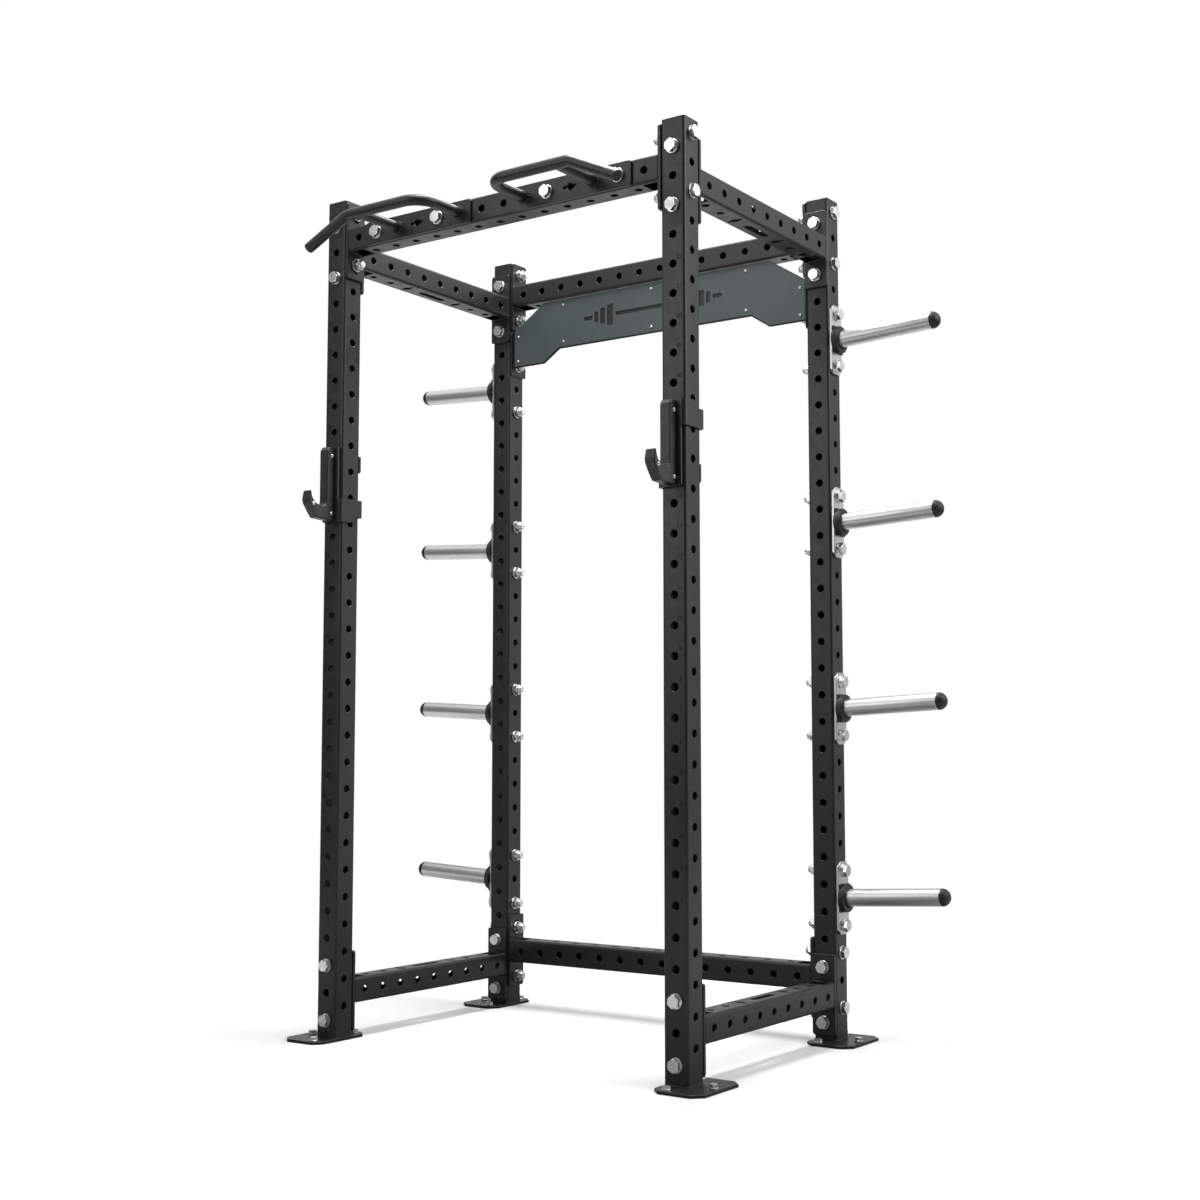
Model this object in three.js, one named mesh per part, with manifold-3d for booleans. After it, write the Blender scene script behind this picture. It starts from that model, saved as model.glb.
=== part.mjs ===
// Power cage: four perforated square uprights on bolt-down feet, tied together by bolted
// cross beams, with two pull-up handles, a sign panel, eight plate storage pegs and a pair
// of twist-in J-hooks.
//
// Units are millimetres, +Z is up, +X is the right-hand side of a person who looks in from
// the front, and +Y runs from the front of the cage to its back. The origin is on the
// floor, under the middle of the whole object.

import * as THREE from 'three';
import { mergeVertices } from 'three/addons/utils/BufferGeometryUtils.js';
import Module from 'manifold-3d';

const wasm = await Module();
wasm.setup();

// ---------------------------------------------------------------- driving dimensions

const tube = 70;                 // outside of every square tube
const tubeWall = 4;
const tubeCorner = 4.5;          // corner chamfer that stands for the rolled radius
const pitch = 75;                // spacing of the numbered holes
const firstHole = 357;           // height of hole number 0 in a front face
const boltHole = 21;             // clearance hole for the M20 bolts
const cageHeight = 2382;
const bayWidth = 1148;           // left to right, between upright centre lines
const bayDepth = 770;            // front to back, between upright centre lines
const gap = 0.3;                 // clearance between pieces that touch

const half = tube / 2;
const sideX = bayWidth / 2;
const holeSides = 8;

// Height of a hole from its number. Side faces carry theirs half a number higher.
const holeHeight = (number) => firstHole + pitch * number;

// ---------------------------------------------------------------- plates and brackets

const foot = { thick: 8, outward: 106, alongY: 204, clip: 25, anchorHole: 14, anchorOut: 84, anchorY: 80 };
const cap = { flange: 3, skirt: 12, skirtClearance: 0.6, skirtWall: 3 };
const endPlate = { thick: 10, wide: 70, tall: 221, corner: 8, boltUp: pitch, slotHalf: 7 };
const access = { long: 48, wide: 50, lip: 3 };
const handle = {
  rod: 30, plateThick: 6, plateFrom: 71, plateTo: 453, plateTall: 66, corner: 8,
  inner: 112, outer: 336, reach: 200, bend: 60, elbow: 375, elbowBend: 40,
  tipX: 522, tipDrop: 69,
  bolts: [187.5, 412.5], keyhole: 262.5, rodSides: 12, steps: 22,
};
const sign = {
  thick: 3, front: 745, endX: 529, endTop: 2153, endBottom: 2039,
  shoulderX: 412, top: 2232, waistX: 412, archX: 351, archBottom: 2079, border: 4,
};
const signFlange = { thick: 4, from: 2010, to: 2150, front: 736, back: 812, corner: 10, boltNumber: 22.5 };
const peg = {
  numbers: [21.5, 14.5, 7.5, 0.5], plateWide: 60, plateTall: 200, plateThick: 8, clip: 13,
  sleeve: 48, sleeveWall: 3.5, reach: 300, tilt: 3, sides: 16,
};
const collar = { base: 4, thick: 16, tall: 78, bore: 51 };
const endCap = { rim: 1.2, dome: 23, plug: 14, steps: 4 };
const hook = {
  number: 16, pin: 18, pinReach: 24,
  steel: 6, plateWide: 58, plateTall: 218, corner: 6,
  armNear: 41.5, armFar: 90.5, armPeak: 109, slopeFrom: -6, slopeTo: 19, bend: 7, tabEnd: 29,
  linerThick: 5.7, linerInset: 3, padWide: 30, webThick: 6,
};
// Outline of the J in the YZ plane, with heights about the pin: a strip against the back
// plate, a cradle for the bar and a raised tip.
const hookProfile = [
  [-47.6, -106], [-112, -102.5], [-126, -86], [-139, -68.5], [-143.5, -60], [-144.3, -51],
  [-142, -41], [-138.5, -31], [-136, -31], [-131.5, -42.5], [-126, -52], [-118.5, -58.5],
  [-110, -63.5], [-101, -66.5], [-88, -66.5], [-80.5, -63], [-76, -56], [-75, -48],
  [-75, 94], [-65, 104], [-47.6, 104],
];
// Outline of the steel web inside the J.
const webProfile = [
  [-46.3, -99], [-109, -96], [-121.5, -83], [-134, -66.5], [-137, -58], [-133, -54],
  [-122.5, -65.5], [-111, -71], [-88, -73], [-78.5, -69.5], [-70.5, -61],
  [-70.5, 90], [-62, 99], [-46.3, 99],
];

// Beams: centre height, and the vertical spacing of their bolts comes from endPlate.
const topFrontDrop = 6.5;        // the slots of its end plates let this beam sit lower
const topFrontHeight = holeHeight(25.5) - topFrontDrop;
const topRearHeight = holeHeight(25.5);
const topSideHeight = holeHeight(25);
const bottomSideHeight = holeHeight(-3);
const bottomRearRise = 5;        // and this one higher
const bottomRearHeight = holeHeight(-2.5) + bottomRearRise;

// The box of the whole object runs from the pull-up bars to the rear feet.
const frontmost = -handle.reach - handle.rod / 2;
const rearmost = bayDepth + foot.alongY / 2;
const middleY = (frontmost + rearmost) / 2;

// ---------------------------------------------------------------- materials

function finish(color, roughness, metalness) {
  return new THREE.MeshStandardMaterial({ color, roughness, metalness });
}

const blackCoat = () => finish(0x2b2b2c, 0.55, 0.3);
const zincPlate = () => finish(0xd5d6d4, 0.35, 0.9);
const blackPlastic = () => finish(0x1b1c1d, 0.6, 0.0);
const hookPlastic = () => finish(0x34383a, 0.5, 0.0);
const slateCoat = () => finish(0x525c5c, 0.5, 0.2);

// ---------------------------------------------------------------- solids

// A three.js geometry as a solid, with its vertices merged by position alone.
function solid(geometry) {
  const bare = geometry.clone();
  bare.deleteAttribute('normal');
  bare.deleteAttribute('uv');
  const merged = mergeVertices(bare, 1e-4);
  return new wasm.Manifold(new wasm.Mesh({
    numProp: 3,
    vertProperties: new Float32Array(merged.attributes.position.array),
    triVerts: new Uint32Array(merged.index.array),
  }));
}

// A solid back as a three.js geometry.
function geometryOf(body) {
  const mesh = body.getMesh();
  const geometry = new THREE.BufferGeometry();
  geometry.setAttribute('position', new THREE.BufferAttribute(mesh.vertProperties, 3));
  geometry.setIndex(new THREE.BufferAttribute(mesh.triVerts, 1));
  geometry.computeVertexNormals();
  return geometry;
}

const unite = (bodies) => bodies.reduce((all, body) => all.add(body));
const cut = (body, tools) => tools.reduce((rest, tool) => rest.subtract(tool), body);
const hull = (bodies) => wasm.Manifold.hull(bodies);

const axisX = new THREE.Vector3(1, 0, 0);
const axisY = new THREE.Vector3(0, 1, 0);
const axisZ = new THREE.Vector3(0, 0, 1);

// An outline swept straight from one station to another along an axis. The outline's two
// coordinates are Y and Z for a sweep along X, X and Z along Y, and X and Y along Z.
function prism(shape, axis, from, to) {
  const geometry = new THREE.ExtrudeGeometry(shape, {
    depth: to - from, bevelEnabled: false, curveSegments: 4,
  });
  const frame = new THREE.Matrix4();
  if (axis === axisX) {
    frame.makeBasis(axisY, axisZ, axisX);
    frame.setPosition(from, 0, 0);
  } else if (axis === axisY) {
    frame.makeBasis(axisX, axisZ, axisY.clone().negate());
    frame.setPosition(0, to, 0);
  } else {
    frame.setPosition(0, 0, from);
  }
  geometry.applyMatrix4(frame);
  return solid(geometry);
}

// A rectangle, with its corners cut off straight if clip is given.
function rectangle(u0, v0, u1, v1, clip = 0) {
  const corners = [
    [u0 + clip, v0], [u1 - clip, v0], [u1, v0 + clip], [u1, v1 - clip],
    [u1 - clip, v1], [u0 + clip, v1], [u0, v1 - clip], [u0, v0 + clip],
  ];
  const kept = clip > 0 ? corners : [[u0, v0], [u1, v0], [u1, v1], [u0, v1]];
  return polygon(kept);
}

const square = (side, clip = 0) => rectangle(-side / 2, -side / 2, side / 2, side / 2, clip);

function polygon(points) {
  return new THREE.Shape(points.map(([u, v]) => new THREE.Vector2(u, v)));
}

// A round bar along an axis, centred on the two coordinates across it.
function rod(axis, across, from, to, diameter, sides = holeSides) {
  const geometry = new THREE.CylinderGeometry(diameter / 2, diameter / 2, to - from, sides);
  const turn = new THREE.Quaternion().setFromUnitVectors(axisY, axis);
  geometry.applyQuaternion(turn);
  const middle = (from + to) / 2;
  if (axis === axisX) {
    geometry.translate(middle, across[0], across[1]);
  } else if (axis === axisY) {
    geometry.translate(across[0], middle, across[1]);
  } else {
    geometry.translate(across[0], across[1], middle);
  }
  return solid(geometry);
}

// A drill for a round hole. Its flats, not its corners, lie on the hole's diameter.
function drill(axis, across, from, to, diameter = boltHole) {
  return rod(axis, across, from, to, diameter / Math.cos(Math.PI / holeSides));
}

// ---------------------------------------------------------------- assembly helpers

const cage = new THREE.Group();
cage.position.set(0, -middleY, 0);

function place(name, body, material, x = 0, y = 0, z = 0) {
  const mesh = new THREE.Mesh(geometryOf(body), material);
  mesh.name = name;
  mesh.position.set(x, y, z);
  cage.add(mesh);
  return mesh;
}

const sides = [
  { name: 'left', sign: -1 },
  { name: 'right', sign: 1 },
];
const rows = [
  { name: 'front', y: 0 },
  { name: 'rear', y: bayDepth },
];

// ---------------------------------------------------------------- uprights

// Holes that carry a bolt or a pin, by the row that the upright stands in. The first list
// runs front to back and the second side to side.
const usedHoles = {
  front: {
    frontToBack: [26, 24, hook.number, -2, -4],
    sideToSide: [26.5, 24.5],
  },
  rear: {
    frontToBack: [26, 24, -2, -4],
    sideToSide: [26.5, 24.5, -1.5, -3.5, ...peg.numbers.flatMap((n) => [n - 1, n + 1])],
  },
};

function uprightBody(row) {
  const base = foot.thick + gap;
  const top = cageHeight - cap.flange - gap;
  const bore = square(tube - 2 * tubeWall);
  const outside = prism(square(tube, tubeCorner), axisZ, base, top);
  const inside = prism(bore, axisZ, base - 1, top + 1);
  const reach = half + 1;
  const drills = [
    ...usedHoles[row].frontToBack.map((n) => drill(axisY, [0, holeHeight(n)], -reach, reach)),
    ...usedHoles[row].sideToSide.map((n) => drill(axisX, [0, holeHeight(n)], -reach, reach)),
  ];
  return cut(outside, [inside, ...drills]);
}

// The foot is flush with the upright's inner face and reaches outward from it.
function footBody(out) {
  const inner = -half;
  const outer = foot.outward;
  const low = Math.min(out * inner, out * outer);
  const high = Math.max(out * inner, out * outer);
  const plate = rectangle(low, -foot.alongY / 2, high, foot.alongY / 2, foot.clip);
  const anchors = [[0, -foot.anchorY], [0, foot.anchorY], [out * foot.anchorOut, 0]];
  const drills = anchors.map((at) => drill(axisZ, at, -1, foot.thick + 1, foot.anchorHole));
  return cut(prism(plate, axisZ, 0, foot.thick), drills);
}

// A flat plug with a skirt that grips the inside of the tube.
function topCapBody() {
  const skirtSide = tube - 2 * tubeWall - 2 * cap.skirtClearance;
  const bottom = cageHeight - cap.flange;
  const flange = prism(square(tube, tubeCorner), axisZ, bottom, cageHeight);
  const skirt = prism(square(skirtSide, tubeCorner), axisZ, bottom - cap.skirt, bottom + 1);
  const hollow = prism(square(skirtSide - 2 * cap.skirtWall), axisZ, bottom - cap.skirt - 1, bottom);
  return cut(flange.add(skirt), [hollow]);
}

for (const row of rows) {
  for (const side of sides) {
    const x = side.sign * sideX;
    const label = `${row.name}_${side.name}`;
    place(`${label}_upright`, uprightBody(row.name), blackCoat(), x, row.y);
    place(`${label}_foot`, footBody(side.sign), blackCoat(), x, row.y);
    place(`${label}_top_cap`, topCapBody(), blackPlastic(), x, row.y);
  }
}

// ---------------------------------------------------------------- beams

// A tube between two end plates, along X and centred on the origin. Its hollow opens
// through the access windows beside the plates, where a hand reaches the nuts. The top
// beams have those windows in their undersides only.
function beamBody(clearSpan, openAbove, drilled = []) {
  const end = clearSpan / 2 - gap;
  const shoulder = end - endPlate.thick;
  const bodyTube = prism(square(tube, tubeCorner), axisX, -shoulder - 1, shoulder + 1);
  const hollow = prism(square(tube - 2 * tubeWall), axisX, -shoulder, shoulder);
  const outline = rectangle(
    -endPlate.wide / 2, -endPlate.tall / 2, endPlate.wide / 2, endPlate.tall / 2, endPlate.corner,
  );
  const plates = [-1, 1].map((s) => {
    const stations = [s * shoulder, s * end];
    return prism(outline, axisX, Math.min(...stations), Math.max(...stations));
  });
  const slotEnds = [-endPlate.slotHalf, endPlate.slotHalf];
  const bolts = [-endPlate.boltUp, endPlate.boltUp].map((z) => hull(slotEnds.map(
    (up) => drill(axisX, [0, z + up], -end - 1, end + 1),
  )));
  const windows = [-1, 1].map((s) => {
    const stations = [s * (shoulder - access.lip), s * (shoulder - access.lip - access.long)];
    const opening = rectangle(
      Math.min(...stations), -access.wide / 2, Math.max(...stations), access.wide / 2,
    );
    return prism(opening, axisZ, -half - 1, openAbove ? half + 1 : 0);
  });
  const through = drilled.map((x) => drill(axisY, [x, 0], -half - 1, half + 1));
  return cut(unite([bodyTube, ...plates]), [hollow, ...bolts, ...windows, ...through]);
}

const clearWidth = bayWidth - tube;
const clearDepth = bayDepth - tube;
const handleBolts = handle.bolts.flatMap((x) => [-x, x]);

place('top_front_beam', beamBody(clearWidth, false, handleBolts), blackCoat(), 0, 0, topFrontHeight);
place('top_rear_beam', beamBody(clearWidth, false), blackCoat(), 0, bayDepth, topRearHeight);
place('bottom_rear_beam', beamBody(clearWidth, true), blackCoat(), 0, bayDepth, bottomRearHeight);

for (const side of sides) {
  const levels = { top: topSideHeight, bottom: bottomSideHeight };
  for (const [level, height] of Object.entries(levels)) {
    const name = `${level}_${side.name}_beam`;
    const body = beamBody(clearDepth, level === 'bottom');
    const beam = place(name, body, blackCoat(), side.sign * sideX, bayDepth / 2, height);
    beam.rotation.z = Math.PI / 2;
  }
}

// ---------------------------------------------------------------- pull-up handles

// A round bar along a route of points, with its corners rounded by the bends in turn.
function bentBar(points, bends = []) {
  const route = new THREE.CurvePath();
  let from = points[0];
  for (let i = 1; i < points.length - 1; i += 1) {
    const corner = points[i];
    const before = points[i - 1].clone().sub(corner).normalize();
    const after = points[i + 1].clone().sub(corner).normalize();
    const angle = before.angleTo(after);
    const setback = bends[i - 1] / Math.tan(angle / 2);
    const enter = corner.clone().addScaledVector(before, setback);
    const leave = corner.clone().addScaledVector(after, setback);
    route.add(new THREE.LineCurve3(from, enter));
    route.add(new THREE.QuadraticBezierCurve3(enter, corner, leave));
    from = leave;
  }
  route.add(new THREE.LineCurve3(from, points[points.length - 1]));
  const section = new THREE.Shape();
  section.absarc(0, 0, handle.rod / 2, 0, 2 * Math.PI);
  const steps = points.length > 2 ? handle.steps : 1;
  const curveSegments = handle.rodSides / 2;
  return solid(new THREE.ExtrudeGeometry(section, {
    extrudePath: route, steps, bevelEnabled: false, curveSegments,
  }));
}

// The right-hand handle: a plate that bolts to the beam, a grip bar in front of it and a
// second strut. The grip bar carries on past the strut and drops towards its free end.
function handleBody(out) {
  const at = (x, y, z) => new THREE.Vector3(out * x, y, z);
  const face = -half - gap;
  const root = face - handle.plateThick / 2;
  const grip = bentBar([
    at(handle.inner, root, 0),
    at(handle.inner, -handle.reach, 0),
    at(handle.elbow, -handle.reach, 0),
    at(handle.tipX, -handle.reach, -handle.tipDrop),
  ], [handle.bend, handle.elbowBend]);
  const strut = bentBar([
    at(handle.outer, root, 0),
    at(handle.outer, -handle.reach, 0),
  ]);
  const low = Math.min(out * handle.plateFrom, out * handle.plateTo);
  const high = Math.max(out * handle.plateFrom, out * handle.plateTo);
  const outline = rectangle(low, -handle.plateTall / 2, high, handle.plateTall / 2, handle.corner);
  const plate = prism(outline, axisY, face - handle.plateThick, face);
  const reach = [face - handle.plateThick - 1, face + 1];
  const drills = [...handle.bolts, handle.keyhole].map(
    (x) => drill(axisY, [out * x, 0], reach[0], reach[1]),
  );
  return cut(unite([plate, grip, strut]), drills);
}

for (const side of sides) {
  const body = handleBody(side.sign);
  place(`pull_up_handle_${side.name}`, body, blackCoat(), 0, 0, topFrontHeight);
}

// ---------------------------------------------------------------- sign panel

// The panel's outline: sloped shoulders above and a raised arch below. The border grows it
// at its ends and downwards, but not upwards, because the beam is right above it.
function signOutline(border) {
  const right = [
    [sign.archX, sign.archBottom - border],
    [sign.waistX, sign.endBottom - border],
    [sign.endX + border, sign.endBottom - border],
    [sign.endX + border, sign.endTop],
    [sign.shoulderX, sign.top],
  ];
  const left = right.map(([x, z]) => [-x, z]).reverse();
  return polygon([...right, ...left]);
}

// The backing behind the face. Its ends are bent back into flanges that lie against the
// inner faces of the rear uprights, each held by a peg bolt.
function signBackingBody() {
  const front = sign.front + sign.thick + gap;
  const wallFace = sideX - half - gap;
  const flanges = [-1, 1].map((out) => {
    const stations = [out * wallFace, out * (wallFace - signFlange.thick)];
    const outline = rectangle(
      signFlange.front, signFlange.from, signFlange.back, signFlange.to, signFlange.corner,
    );
    return prism(outline, axisX, Math.min(...stations), Math.max(...stations));
  });
  const panel = prism(signOutline(sign.border), axisY, front, front + sign.thick);
  const ends = prism(
    rectangle(-wallFace, sign.endBottom - sign.border, wallFace, signFlange.to),
    axisY, front, front + sign.thick,
  ).subtract(prism(
    rectangle(-sign.waistX, signFlange.from, sign.waistX, sign.top), axisY, front - 1, front + sign.thick + 1,
  ));
  const boltAt = [bayDepth, holeHeight(signFlange.boltNumber)];
  const hole = drill(axisX, boltAt, -wallFace - 1, wallFace + 1);
  return cut(unite([panel, ends, ...flanges]), [hole]);
}

place('sign_face', prism(signOutline(0), axisY, sign.front, sign.front + sign.thick), slateCoat());
place('sign_backing', signBackingBody(), blackCoat());

// ---------------------------------------------------------------- storage pegs

// A peg points along +X from the upright's outer face, which is at x = 0 here.
const tiltUp = new THREE.Matrix4().makeRotationY(-THREE.MathUtils.degToRad(peg.tilt));

function alongPeg(geometry) {
  geometry.applyMatrix4(tiltUp);
  return solid(geometry);
}

function pegTube(diameter, from, to) {
  const geometry = new THREE.CylinderGeometry(diameter / 2, diameter / 2, to - from, peg.sides);
  geometry.rotateZ(-Math.PI / 2);
  geometry.translate((from + to) / 2, 0, 0);
  return alongPeg(geometry);
}

function pegBody() {
  const outline = rectangle(
    -peg.plateWide / 2, -peg.plateTall / 2, peg.plateWide / 2, peg.plateTall / 2, peg.clip,
  );
  const face = gap + peg.plateThick;
  const plate = prism(outline, axisX, gap, face);
  const sleeve = pegTube(peg.sleeve, face - 2, peg.reach);
  const bore = pegTube(peg.sleeve - 2 * peg.sleeveWall, face + 2, peg.reach + 1);
  const drills = [-pitch, pitch].map((z) => drill(axisX, [0, z], -1, face + 1));
  return cut(plate.add(sleeve), [bore, ...drills]);
}

// A ring on a pad as wide as the plate. It keeps the weight plates off the bolt heads.
function collarBody() {
  const start = 2 * gap + peg.plateThick;
  const pad = rectangle(-peg.plateWide / 2, -collar.tall / 2, peg.plateWide / 2, collar.tall / 2, 4);
  const base = prism(pad, axisX, start, start + collar.base);
  const ring = rod(axisX, [0, 0], start, start + collar.thick, collar.tall, peg.sides);
  const bore = rod(axisX, [0, 0], start - 1, start + collar.thick + 1, collar.bore, peg.sides);
  return cut(base.add(ring), [bore]);
}

// A domed cap whose plug sits inside the sleeve.
function endCapBody() {
  const start = peg.reach + gap;
  const rim = peg.sleeve / 2;
  const plug = rim - peg.sleeveWall - gap;
  const profile = [
    [0, start - endCap.plug],
    [plug, start - endCap.plug],
    [plug, start],
    [rim, start],
    [rim, start + endCap.rim],
  ];
  for (let i = 1; i < endCap.steps; i += 1) {
    const angle = (Math.PI / 2) * (i / endCap.steps);
    profile.push([rim * Math.cos(angle), start + endCap.rim + endCap.dome * Math.sin(angle)]);
  }
  profile.push([0, start + endCap.rim + endCap.dome]);
  const points = profile.map(([r, x]) => new THREE.Vector2(r, x));
  const geometry = new THREE.LatheGeometry(points, peg.sides);
  geometry.rotateZ(-Math.PI / 2);
  return alongPeg(geometry);
}

for (const side of sides) {
  peg.numbers.forEach((number, index) => {
    const level = peg.numbers.length - index;
    const pieces = [
      ['peg', pegBody(), zincPlate()],
      ['collar', collarBody(), blackPlastic()],
      ['end_cap', endCapBody(), blackPlastic()],
    ];
    for (const [kind, body, material] of pieces) {
      const x = side.sign * (sideX + half);
      const mesh = place(`${side.name}_${kind}_${level}`, body, material, x, bayDepth, holeHeight(number));
      mesh.rotation.z = side.sign > 0 ? 0 : Math.PI;
    }
  });
}

// ---------------------------------------------------------------- J-hooks

// The hook rests on the lower edge of its hole, so its pin sits below the hole's centre.
const hookHeight = holeHeight(hook.number) - (boltHole - hook.pin) / 2 + gap;
const plateBack = -half - gap - hook.linerThick - gap;
const plateFront = plateBack - hook.steel;

// An outline moved outward by a distance, each corner along its own mitre.
function grown(points, distance) {
  return points.map(([u, v], i) => {
    const [u0, v0] = points[(i + points.length - 1) % points.length];
    const [u1, v1] = points[(i + 1) % points.length];
    const into = new THREE.Vector2(u - u0, v - v0).normalize();
    const out = new THREE.Vector2(u1 - u, v1 - v).normalize();
    const turn = 1 + into.dot(out);
    const push = distance / turn;
    return [u - push * (into.y + out.y), v + push * (into.x + out.x)];
  });
}

// A strap that wraps one side of the upright, from the back plate to a tab behind the
// upright. It runs along the outer side for side = 1 seen from above, and is bent in plan.
function strapBody(side, up) {
  const inner = half + gap;
  const outer = inner + hook.steel;
  const far = -plateFront;
  const bend = hook.bend;
  const plan = polygon([
    [0, plateFront], [side * (outer - bend), plateFront], [side * outer, plateFront + bend],
    [side * outer, far - bend], [side * (outer - bend), far], [-side * hook.tabEnd, far],
    [-side * hook.tabEnd, far - hook.steel], [side * inner, far - hook.steel],
    [side * inner, plateBack], [0, plateBack],
  ]);
  const profile = polygon([
    [plateFront - 1, up * hook.armNear], [far + 1, up * hook.armNear],
    [far + 1, up * hook.armFar], [hook.slopeTo, up * hook.armFar],
    [hook.slopeFrom, up * hook.armPeak], [plateFront - 1, up * hook.armPeak],
  ]);
  const strip = prism(plan, axisZ, -hook.armPeak - 1, hook.armPeak + 1);
  return strip.intersect(prism(profile, axisX, -outer - 1, outer + 1));
}

// Steel part of the right-hand hook: back plate, pin, web and two straps that wrap the
// upright from opposite sides. The upper strap is on the outer side and the lower strap on
// the inner side, so that turning the top outward frees both tabs.
function hookFrameBody(out) {
  const plate = prism(
    rectangle(
      -hook.plateWide / 2, -hook.plateTall / 2, hook.plateWide / 2, hook.plateTall / 2, hook.corner,
    ),
    axisY, plateFront, plateBack,
  );
  const pin = rod(axisY, [0, 0], plateFront + 1, -half + hook.pinReach, hook.pin);
  const web = prism(polygon(webProfile), axisX, -hook.webThick / 2, hook.webThick / 2);
  return unite([plate, pin, web, strapBody(out, 1), strapBody(-out, -1)]);
}

// One half of the plastic J. The two halves close over the web from either side.
function hookPadBody(side) {
  const x = [side * gap / 2, side * hook.padWide / 2];
  const pad = prism(polygon(hookProfile), axisX, Math.min(...x), Math.max(...x));
  const pocketReach = hook.webThick / 2 + gap;
  const pocket = prism(polygon(grown(webProfile, gap)), axisX, -pocketReach, pocketReach);
  return pad.subtract(pocket);
}

// A plastic sheet between the back plate and the upright's front face, with the pin
// through it.
function hookFrontLinerBody() {
  const wide = hook.plateWide / 2 - hook.linerInset;
  const tall = hook.plateTall / 2 - hook.linerInset;
  const back = -half - gap;
  const sheet = prism(rectangle(-wide, -tall, wide, tall), axisY, back - hook.linerThick, back);
  const hole = drill(axisY, [0, 0], back - hook.linerThick - 1, back + 1, hook.pin + 1);
  return sheet.subtract(hole);
}

// A plastic sheet between a tab and the back of the upright.
function hookTabLinerBody(up) {
  const wide = hook.tabEnd - hook.linerInset;
  const near = hook.armNear + hook.linerInset;
  const far = hook.armFar - hook.linerInset;
  const outline = rectangle(-wide, Math.min(up * near, up * far), wide, Math.max(up * near, up * far));
  return prism(outline, axisY, half + gap, half + gap + hook.linerThick);
}

for (const side of sides) {
  const out = side.sign;
  const label = `jhook_${side.name}`;
  const pieces = [
    ['frame', hookFrameBody(out), blackCoat()],
    ['pad_outer', hookPadBody(out), hookPlastic()],
    ['pad_inner', hookPadBody(-out), hookPlastic()],
    ['liner_front', hookFrontLinerBody(), blackPlastic()],
    ['liner_upper', hookTabLinerBody(1), blackPlastic()],
    ['liner_lower', hookTabLinerBody(-1), blackPlastic()],
  ];
  for (const [kind, body, material] of pieces) {
    place(`${label}_${kind}`, body, material, out * sideX, 0, hookHeight);
  }
}

export default cage;
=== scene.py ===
import itertools
import math

import bmesh
import bpy
from mathutils import Matrix, Vector
from mathutils.geometry import tessellate_polygon


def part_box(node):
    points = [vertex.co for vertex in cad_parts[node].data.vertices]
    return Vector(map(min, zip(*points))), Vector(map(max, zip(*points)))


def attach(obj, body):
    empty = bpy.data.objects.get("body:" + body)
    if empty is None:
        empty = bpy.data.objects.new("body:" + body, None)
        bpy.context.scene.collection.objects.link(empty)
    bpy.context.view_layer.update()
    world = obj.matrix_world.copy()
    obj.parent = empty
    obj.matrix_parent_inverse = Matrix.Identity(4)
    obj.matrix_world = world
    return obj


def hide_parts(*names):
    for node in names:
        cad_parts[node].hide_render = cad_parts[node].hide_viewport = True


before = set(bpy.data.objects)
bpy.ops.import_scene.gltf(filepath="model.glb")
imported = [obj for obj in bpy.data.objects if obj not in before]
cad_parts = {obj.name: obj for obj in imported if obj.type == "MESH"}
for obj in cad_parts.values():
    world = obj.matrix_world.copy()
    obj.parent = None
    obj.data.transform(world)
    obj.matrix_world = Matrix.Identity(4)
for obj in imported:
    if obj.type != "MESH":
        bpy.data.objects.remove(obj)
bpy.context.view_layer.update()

# Geometry is worked out in millimetres and becomes metres when a mesh is made.
MM = 0.001

# -------- driving dimensions

PITCH = 75.0            # spacing of the holes
FIRST_HOLE = 357.0      # height of hole number 0 in a front face
HOLE = 10.5             # radius of the holes
CORNER = 7.5            # rolled corner radius of the square tubes
CORNER_STEPS = 4        # facets round such a corner
WALL = 4.0
PLATE_EDGE = 1.0        # chamfer on the edges of cut plates
GAP = 0.3               # between faces that are bolted or laid together
WELD = 2.2              # radius of the weld beads on the tubes

FIRST_NUMBER, LAST_NUMBER = 1, 22
NUMBER_TALL = 12.5
NUMBER_DEEP = 0.12
NUMBER_OUT, NUMBER_UP = 17.5, 17.0
LETTER_SIZE = 1.38      # size of a font against the height of its numerals

HEAD = {"flats": 30.0, "tall": 12.5}
NUT = {"flats": 30.0, "tall": 18.0, "collar": 5.0, "stick": 7.0}
WASHER = {"radius": 18.5, "thick": 3.0}
BOLT = 10.0             # radius of the M20 bolts
HEAD_TURN, NUT_TURN = 0.9, 0.55     # radians from one bolt to the next, as fitters leave them
SCREW_TALL = 3.4

FOOT = {"clip": 25.0, "hole": 7.0, "ear": 22.0}     # ear: from the foot's edges to its anchors
ANCHOR = {"flats": 19.0, "tall": 8.0, "radius": 12.0, "thick": 2.5, "bore": 5.0}
SKIRT = 0.87            # a top cap's skirt against the width of the tube


# -------- the frame in millimetres

def span(node):
    low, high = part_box(node)
    return low / MM, high / MM


def extent(node):
    """A node's lowest and highest corner and its middle."""
    low, high = span(node)
    return low, high, (low + high) / 2


def middle(node):
    return extent(node)[2]


# -------- outlines

def arc(u, v, radius, start, stop, steps):
    """Points on an arc, angles in degrees, both ends included."""
    points = []
    for i in range(steps + 1):
        angle = math.radians(start + (stop - start) * i / steps)
        points.append((u + radius * math.cos(angle), v + radius * math.sin(angle)))
    return points


def circle(u, v, radius, steps=24):
    return arc(u, v, radius, 0, 360, steps)[:-1]


def slot(u, v, length, width, along_v=False, steps=8):
    """A slot with round ends, counter-clockwise."""
    reach = (length - width) / 2
    r = width / 2
    if along_v:
        return arc(u, v + reach, r, 0, 180, steps) + arc(u, v - reach, r, 180, 360, steps)
    return arc(u + reach, v, r, -90, 90, steps) + arc(u - reach, v, r, 90, 270, steps)


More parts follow.
